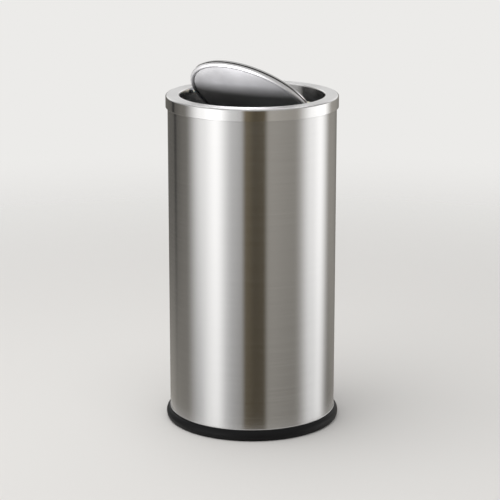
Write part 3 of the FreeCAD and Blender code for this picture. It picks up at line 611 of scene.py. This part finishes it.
def head_ring(finish):
    """Drawn ring in one sheet: straight band, rounded edge, flat annulus, mouth and hemmed collar."""
    sheet = HEAD_SHEET
    band = HEAD_RADIUS - sheet
    low = CAN_HEIGHT - HEAD_BAND
    edge = (HEAD_RADIUS - HEAD_EDGE, CAN_HEIGHT - HEAD_EDGE)
    mouth = (MOUTH_RADIUS + MOUTH_EDGE, CAN_HEIGHT - MOUTH_EDGE)
    collar = CAN_HEIGHT - COLLAR_DEPTH
    hem = collar + COLLAR_HEM
    section = arc((band + sheet / 2, low + sheet / 2), sheet / 2, 180, 360, BAND_ARC_STEP)
    section += arc(edge, HEAD_EDGE, 0, 90)
    section += arc(mouth, MOUTH_EDGE, 90, 180)
    section += arc((MOUTH_RADIUS + sheet, collar + sheet), sheet, 180, 360, HEM_ARC_STEP)
    section += [(MOUTH_RADIUS + 2 * sheet, hem), (MOUTH_RADIUS + sheet, hem)]
    section += arc(mouth, MOUTH_EDGE - sheet, 180, 90)
    section += arc(edge, HEAD_EDGE - sheet, 90, 0)
    piece = turned("polished_head_ring", section, finish)
    stand_for(piece, "head", "polished_stainless", "head_ring")
    return piece


def hang_lid_shell(piece):
    """Drill a lid shell for its cross tube and tilt it on its pivots."""
    bpy.ops.mesh.primitive_cylinder_add(
        vertices=DRILL_STEPS, radius=LID_HOLE * MM, depth=3 * LID_RADIUS * MM,
        rotation=(0, math.radians(90), 0))
    drill = bpy.context.object
    cut = piece.modifiers.new("Tube holes", "BOOLEAN")
    cut.object = drill
    cut.solver = "EXACT"
    fix_mesh(piece)
    bpy.data.objects.remove(drill)
    tilt = Matrix.Rotation(math.radians(-LID_TILT), 4, "X")
    piece.data.transform(Matrix.Translation((0, 0, PIVOT_HEIGHT * MM)) @ tilt)


def lid_lower_shell(finish):
    """Shallow ball-shaped dish whose edge is rolled outwards into a round bead."""
    bead = (LID_RADIUS - LID_BEAD, -LID_BEAD)
    wall = LID_RADIUS - 2 * LID_BEAD
    out = wall + LID_SHEET
    rise = LID_DISH_DEPTH - LID_DISH_EDGE
    ball = (out ** 2 + rise ** 2) / (2 * rise)
    middle = (0, ball - LID_DISH_DEPTH)
    inner = ball - LID_SHEET
    section = arc(middle, ball, -90, math.degrees(math.asin(out / ball)) - 90, DISH_ARC_STEP)
    section += arc(bead, LID_BEAD - LID_SHEET, 180, LID_BEAD_END)
    section += arc(bead, LID_BEAD, LID_BEAD_END, 180)
    section += arc(middle, inner, math.degrees(math.asin(wall / inner)) - 90, -90, DISH_ARC_STEP)
    piece = turned("lid_lower_shell", section, finish, closed=False)
    hang_lid_shell(piece)
    stand_for(piece, "lid", "polished_stainless", "lid_bottom_dish")
    return piece


def lid_upper_shell(finish):
    """Low dome with a rounded lip, stepped in to a flange that nests in the lower shell."""
    sheet = LID_SHEET
    lip = (LID_LIP_RADIUS - LID_LIP_EDGE, LID_LIP_HEIGHT)
    rise = LID_DOME_HEIGHT - LID_LIP_HEIGHT
    ball = (lip[0] ** 2 + rise ** 2 - LID_LIP_EDGE ** 2) / (2 * (rise - LID_LIP_EDGE))
    middle = (0, LID_DOME_HEIGHT - ball)
    meet = math.degrees(math.acos(lip[0] / (ball - LID_LIP_EDGE)))
    section = arc(middle, ball - sheet, 90, meet, DOME_ARC_STEP)
    section += arc(lip, LID_LIP_EDGE - sheet, meet, 0)
    flange = LID_SPIGOT_RADIUS
    section += [(LID_LIP_RADIUS - sheet, LID_SPLIT + sheet), (flange - sheet, LID_SPLIT + sheet),
                (flange - sheet, -LID_SPIGOT), (flange, -LID_SPIGOT), (flange, LID_SPLIT),
                (LID_LIP_RADIUS, LID_SPLIT)]
    section += arc(lip, LID_LIP_EDGE, 0, meet)
    section += arc(middle, ball, meet, 90, DOME_ARC_STEP)
    piece = turned("lid_upper_shell", section, finish, closed=False)
    hang_lid_shell(piece)
    stand_for(piece, "lid", "polished_stainless", "lid_top_dome")


def bucket_wall(finish):
    """Slightly tapered galvanised wall with its top edge rolled round a wire."""
    bore = BUCKET_TOP - BUCKET_WALL
    curl = (bore + BUCKET_CURL, BUCKET_RIM - BUCKET_CURL)
    section = [(BUCKET_FOOT - BUCKET_WALL, BUCKET_FLOOR)]
    section += arc(curl, BUCKET_CURL, 180, -90)
    section += arc(curl, BUCKET_CURL - BUCKET_WALL, -90, 180)
    section += [(BUCKET_FOOT, BUCKET_FLOOR)]
    piece = turned("bucket_wall", section, finish)
    stand_for(piece, "liner", "galvanised_steel", "liner_wall")


def bucket_rivets(finish):
    """Four domed rivets, two through each ear and the wall."""
    middle = (RIVET_OUTSIDE + RIVET_INSIDE) / 2
    shank = (RIVET_OUTSIDE - RIVET_INSIDE) / 2
    crown = (RIVET_HEAD_RADIUS ** 2 + RIVET_HEAD ** 2) / (2 * RIVET_HEAD)
    spread = math.degrees(math.asin(RIVET_HEAD_RADIUS / crown))
    top = shank + RIVET_HEAD - crown
    section = arc((0, -top), crown, -90, spread - 90, RIVET_ARC_STEP)
    section += [(RIVET_RADIUS, -shank), (RIVET_RADIUS, shank)]
    section += arc((0, top), crown, 90 - spread, 90, RIVET_ARC_STEP)
    rivet = turned("rivet", section, finish, closed=False, steps=RIVET_STEPS)
    rivet.data.transform(Matrix.Rotation(math.radians(90), 4, "Y"))
    places = [(side * middle * MM, across * RIVET_SPACING / 2 * MM, RIVET_HEIGHT * MM)
              for side in (1, -1) for across in (1, -1)]
    piece = new_object("bucket_rivets", places)
    grow(piece, trees["fasteners"], {"Fastener": rivet, "Finish": finish})
    bpy.data.objects.remove(rivet)
    stand_for(piece, "liner", "zinc_plated_steel", "liner_rivets")


def bail_rod(finish):
    """Round rod bent to a half ring, its hooked ends upset behind the ears."""
    head = BAIL_WIRE + BAIL_UPSET
    tip = BAIL_HOOK_END - BAIL_UPSET
    along, inwards = UPSET_EDGE
    end = [(tip, 0, head - inwards), (tip + along, 0, head), (BAIL_HOOK_END - along, 0, head),
           (BAIL_HOOK_END, 0, head - inwards), (BAIL_HOOK_END + UPSET_STEP, 0, BAIL_WIRE)]
    lean = math.degrees(math.atan2(BAIL_BEND, BAIL_CORNER))
    corner = arc((BAIL_CORNER, -BAIL_BEND), BAIL_BEND, 90, -lean)
    half = end + [(out, side, BAIL_WIRE) for out, side in corner]
    bow = arc((0, 0), BAIL_RING, -lean, lean - 180, BAIL_ARC_STEP)
    ring = [(out, side, BAIL_WIRE) for out, side in bow[1:-1]]
    path = half + ring + [(-out, side, thickness) for out, side, thickness in reversed(half)]
    points = [(out * MM, side * MM, BAIL_HEIGHT * MM) for out, side, thickness in path]
    piece = new_object("bail_rod", points, chain(len(points), False))
    sizes = piece.data.attributes.new("thickness", "FLOAT", "POINT")
    for point, (out, side, thickness) in zip(sizes.data, path):
        point.value = thickness * MM
    grow(piece, trees["wire"], {"Steps": ROD_STEPS, "Finish": finish})
    stand_for(piece, "bail", "galvanised_wire", "bail_wire")


def bail_sleeve(finish):
    """Sleeve pushed over the middle of the rod, with rounded ends."""
    rows = SLEEVE_ANGLE // BAIL_ARC_STEP
    runs = [(row / rows - 0.5) * math.radians(SLEEVE_ANGLE) * BAIL_RING for row in range(rows + 1)]
    inside = [(run, SLEEVE_BORE) for run in runs]
    outside = [(run, SLEEVE_RADIUS) for run in reversed(runs)]
    outline = eased(inside + outside, SLEEVE_EDGE)
    around = SLEEVE_STEPS
    points = []
    for along, out in outline:
        turn = along / BAIL_RING - math.pi / 2
        for step in range(around):
            angle = 2 * math.pi * step / around
            reach = BAIL_RING + out * math.cos(angle)
            points.append((reach * math.cos(turn) * MM, reach * math.sin(turn) * MM,
                           (BAIL_HEIGHT + out * math.sin(angle)) * MM))
    count = len(outline)
    faces = [(row * around + step, row * around + (step + 1) % around,
              (row + 1) % count * around + (step + 1) % around, (row + 1) % count * around + step)
             for row in range(count) for step in range(around)]
    piece = new_object("bail_sleeve", points, faces=faces)
    piece.data.materials.append(finish)
    fix_mesh(piece)
    piece.data.shade_smooth()
    stand_for(piece, "bail", "grip_plastic", "bail_grip")


def coat_solids(finishes):
    """Give the solids that stay in view their finishes."""
    for finish, names in finishes:
        for name in names:
            solids[name].data.materials.clear()
            solids[name].data.materials.append(finish)


def floor():
    """Pale floor that keeps the bin's shadow and fades into the backdrop."""
    bpy.ops.mesh.primitive_circle_add(
        vertices=FLOOR_STEPS, radius=FLOOR_RADIUS, fill_type="NGON", location=(0, 0, -FLOOR_DROP))
    ground = bpy.context.object
    ground.name = "floor"
    material, tree = new_material("Pale floor")
    place = add(tree, "ShaderNodeTexCoord").outputs["Object"]
    away = add(tree, "ShaderNodeVectorMath", {0: place}, operation="LENGTH").outputs["Value"]
    rays = add(tree, "ShaderNodeLightPath")
    seen = add(tree, "ShaderNodeMapRange", {
        "Value": away, "From Min": FLOOR_FADE[0], "From Max": FLOOR_FADE[1]},
        interpolation_type="SMOOTHSTEP")
    mirrored = add(tree, "ShaderNodeMapRange", {
        "Value": away, "From Min": FLOOR_MIRROR_FADE[0], "From Max": FLOOR_MIRROR_FADE[1]},
        interpolation_type="SMOOTHSTEP")
    fade = add(tree, "ShaderNodeMix", {
        "Factor": rays.outputs["Is Glossy Ray"], 2: seen.outputs["Result"], 3: mirrored.outputs["Result"]})
    pale = add(tree, "ShaderNodeBsdfPrincipled", {"Base Color": linear("#E4E2DF"), "Roughness": 0.8})
    shader = add(tree, "ShaderNodeMixShader", {
        "Fac": fade.outputs[0], 1: pale.outputs["BSDF"],
        2: add(tree, "ShaderNodeBsdfTransparent").outputs["BSDF"]})
    add(tree, "ShaderNodeOutputMaterial", {"Surface": shader.outputs["Shader"]})
    ground.data.materials.append(material)


def grey(level, tint=(1, 1, 1)):
    """Light of a level and a tint, as a colour."""
    return tuple(level * part for part in tint) + (1,)


# Studio round the bin, as degrees to the right of the camera and levels of light.
# Two soft boxes stand left and right, and a warm dark flag beside the camera gives the steel its edge.
# The walls go on lower and darker near the floor, and a plainer backdrop stands above them.
WARM = (1.24, 1, 0.62)
DUSK = (1.05, 1, 0.91)
WALLS = [
    (-180, grey(0.15, DUSK)), (-136, grey(0.12, DUSK)), (-129, grey(0.02)), (-122, grey(0.12, DUSK)),
    (-103, grey(0.19, DUSK)), (-70, grey(1.4)), (-50, grey(1.85)), (-24, grey(0.8)), (-16, grey(0.7)),
    (-8, grey(0.15, WARM)), (4, grey(0.07, WARM)), (15, grey(0.09, WARM)), (23, grey(0.45, DUSK)),
    (58, grey(0.38, DUSK)), (88, grey(1.4)), (106, grey(1.7)), (132, grey(0.38, DUSK)),
    (180, grey(0.15, DUSK)),
]
LOW_WALLS = [
    (-180, grey(0.3, DUSK)), (-150, grey(0.4, DUSK)), (-100, grey(0.26, DUSK)), (-80, grey(0.32)),
    (-62, grey(0.86)), (-52, grey(0.9)), (-34, grey(0.38)), (-16, grey(0.18, DUSK)), (-8, grey(0.06, WARM)),
    (15, grey(0.055, WARM)), (23, grey(0.23, DUSK)), (66, grey(0.2, DUSK)), (94, grey(0.7)),
    (104, grey(0.85)), (126, grey(0.15, DUSK)), (180, grey(0.3, DUSK)),
]
BACKDROP = [
    (-180, grey(1.0)), (-150, grey(1.0)), (-115, grey(0.4)), (-60, grey(0.9)), (-25, grey(0.7)),
    (30, grey(0.5)), (110, grey(0.3)), (150, grey(1.0)), (180, grey(1.0)),
]
OVERHEAD = grey(0.55)

# Heights at which one row of the studio passes into the next, as the upward share of a direction
LOW_WALLS_FROM = (-0.25, -0.33)
BACKDROP_FROM = (0.02, 0.22)
OVERHEAD_FROM = (0.35, 0.7)


def studio():
    """World that lights the bin by direction, and that the camera sees as a plain pale backdrop."""
    world = bpy.data.worlds.new("Studio")
    bpy.context.scene.world = world
    world.use_nodes = True
    tree = world.node_tree
    tree.nodes.clear()
    place = add(tree, "ShaderNodeTexCoord").outputs["Generated"]
    faced = add(tree, "ShaderNodeVectorRotate", {
        "Vector": place, "Angle": -math.radians(CAMERA_SIDE)}, rotation_type="Z_AXIS")
    axes = add(tree, "ShaderNodeSeparateXYZ", {"Vector": faced.outputs["Vector"]})
    front = add(tree, "ShaderNodeMath", {0: axes.outputs["Y"], 1: -1.0}, operation="MULTIPLY")
    side = add(tree, "ShaderNodeMath", {
        0: axes.outputs["X"], 1: front.outputs["Value"]}, operation="ARCTAN2")
    share = add(tree, "ShaderNodeMapRange", {
        "Value": side.outputs["Value"], "From Min": -math.pi, "From Max": math.pi})
    rows = []
    for levels in (WALLS, LOW_WALLS, BACKDROP):
        row = add(tree, "ShaderNodeValToRGB", {"Fac": share.outputs["Result"]}, [
            ((angle + 180) / 360, level) for angle, level in levels])
        row.color_ramp.interpolation = "EASE"
        rows.append(row.outputs["Color"])
    walls, low_walls, backdrop = rows
    fall = add(tree, "ShaderNodeMapRange", {
        "Value": axes.outputs["Z"], "From Min": LOW_WALLS_FROM[0], "From Max": LOW_WALLS_FROM[1]})
    lower = add(tree, "ShaderNodeMix", {
        "Factor": fall.outputs["Result"], 6: walls, 7: low_walls}, data_type="RGBA")
    above = add(tree, "ShaderNodeMapRange", {
        "Value": axes.outputs["Z"], "From Min": BACKDROP_FROM[0], "From Max": BACKDROP_FROM[1]},
        interpolation_type="SMOOTHSTEP")
    round_about = add(tree, "ShaderNodeMix", {
        "Factor": above.outputs["Result"], 6: lower.outputs[2], 7: backdrop}, data_type="RGBA")
    overhead = add(tree, "ShaderNodeMapRange", {
        "Value": axes.outputs["Z"], "From Min": OVERHEAD_FROM[0], "From Max": OVERHEAD_FROM[1]},
        interpolation_type="SMOOTHSTEP")
    light = add(tree, "ShaderNodeMix", {
        "Factor": overhead.outputs["Result"], 6: round_about.outputs[2], 7: OVERHEAD}, data_type="RGBA")
    lit = add(tree, "ShaderNodeBackground", {"Color": light.outputs[2]})
    pale = add(tree, "ShaderNodeBackground", {"Color": linear("#ECEBE9")})
    shader = add(tree, "ShaderNodeMixShader", {
        "Fac": add(tree, "ShaderNodeLightPath").outputs["Is Camera Ray"],
        1: lit.outputs["Background"], 2: pale.outputs["Background"]})
    add(tree, "ShaderNodeOutputWorld", {"Surface": shader.outputs["Shader"]})


def lamp(name, width, height, energy, place, aim, colour=(1, 1, 1)):
    """Rectangular lamp at a place, turned to face another."""
    light = bpy.data.lights.new(name, "AREA")
    light.shape = "RECTANGLE"
    light.size = width
    light.size_y = height
    light.energy = energy
    light.color = colour
    holder = bpy.data.objects.new(name, light)
    holder.location = place
    holder.rotation_euler = (Vector(aim) - Vector(place)).to_track_quat("-Z", "Y").to_euler()
    bpy.context.scene.collection.objects.link(holder)
    return holder


def beside_camera(side, away, height):
    """Place at an angle to the right of the camera, a distance from the bin's axis and a height."""
    turn = math.radians(CAMERA_SIDE + side)
    return (away * math.sin(turn), -away * math.cos(turn), height)


def collect(name, *pieces):
    """Collection of the pieces that a lamp lights."""
    group = bpy.data.collections.new(name)
    for piece in pieces:
        group.objects.link(piece)
    return group


def lamps(head, underside):
    """Soft lamp above, one for the underside of the raised lid, and one for the head's flat top."""
    top = lamp("top_light", *TOP_LIGHT, TOP_LIGHT_PLACE, TOP_LIGHT_AIM)
    top.visible_glossy = False
    low_front = beside_camera(LID_LIGHT_SIDE, LID_LIGHT_AWAY, LID_LIGHT_HEIGHT)
    lid = lamp("lid_light", *LID_LIGHT, low_front, (0, 0, LID_LIGHT_HEIGHT), LID_LIGHT_COLOUR)
    lid.light_linking.receiver_collection = collect("Lit by the lid light", underside)
    high_back = beside_camera(RIM_LIGHT_SIDE, RIM_LIGHT_AWAY, RIM_LIGHT_HEIGHT)
    rim = lamp("rim_light", *RIM_LIGHT, high_back, (0, 0, CAN_HEIGHT * MM))
    rim.light_linking.receiver_collection = collect("Lit by the rim light", head)


def camera():
    """Camera at the photograph's angle and distance."""
    side = math.radians(CAMERA_SIDE)
    data = bpy.data.cameras.new("photo_camera")
    data.lens = CAMERA_LENS
    data.sensor_width = CAMERA_SENSOR
    holder = bpy.data.objects.new("photo_camera", data)
    holder.location = (CAMERA_AWAY * math.sin(side), -CAMERA_AWAY * math.cos(side), CAMERA_HEIGHT)
    turn = math.radians(CAMERA_SIDE + CAMERA_YAW)
    holder.rotation_euler = (math.radians(90 - CAMERA_TILT), 0, turn)
    bpy.context.scene.collection.objects.link(holder)
    bpy.context.scene.camera = holder


trees = {"turning": turning_tree(), "wire": wire_tree(), "fasteners": fastener_tree()}
zinc_sheet = galvanised_sheet()
barrel(brushed_stainless())
base_ring(black_vinyl())
head = head_ring(
    polished_stainless("Polished stainless head", blur=0.16, flat_blur=0.38, grain=0.9))
underside = lid_lower_shell(
    polished_stainless("Satin stainless lid underside", blur=0.52, lift=PIVOT_HEIGHT, tilt=-LID_TILT))
lid_upper_shell(
    polished_stainless("Polished stainless lid top", blur=0.14, lift=PIVOT_HEIGHT, tilt=-LID_TILT))
bucket_wall(zinc_sheet)
zinc_wire = galvanised_wire()
zinc_plate = bright_zinc()
bucket_rivets(zinc_plate)
bail_rod(zinc_wire)
bail_sleeve(black_sleeve())
coat_solids([
    (zinc_sheet, ["base_plate", "liner_base", "liner_ears"]),
    (zinc_wire, ["liner_rim_wire"]),
    (zinc_plate, ["pivot_bolts", "pivot_washers", "pivot_nuts", "lid_cross_tube", "lid_tube_saddles"]),
    (natural_nylon(), ["pivot_spacers", "lid_bushes"]),
    (cast_iron(), ["balance_weight"]),
])
floor()
studio()
lamps(head, underside)
camera()
bpy.context.scene.view_settings.view_transform = "Standard"
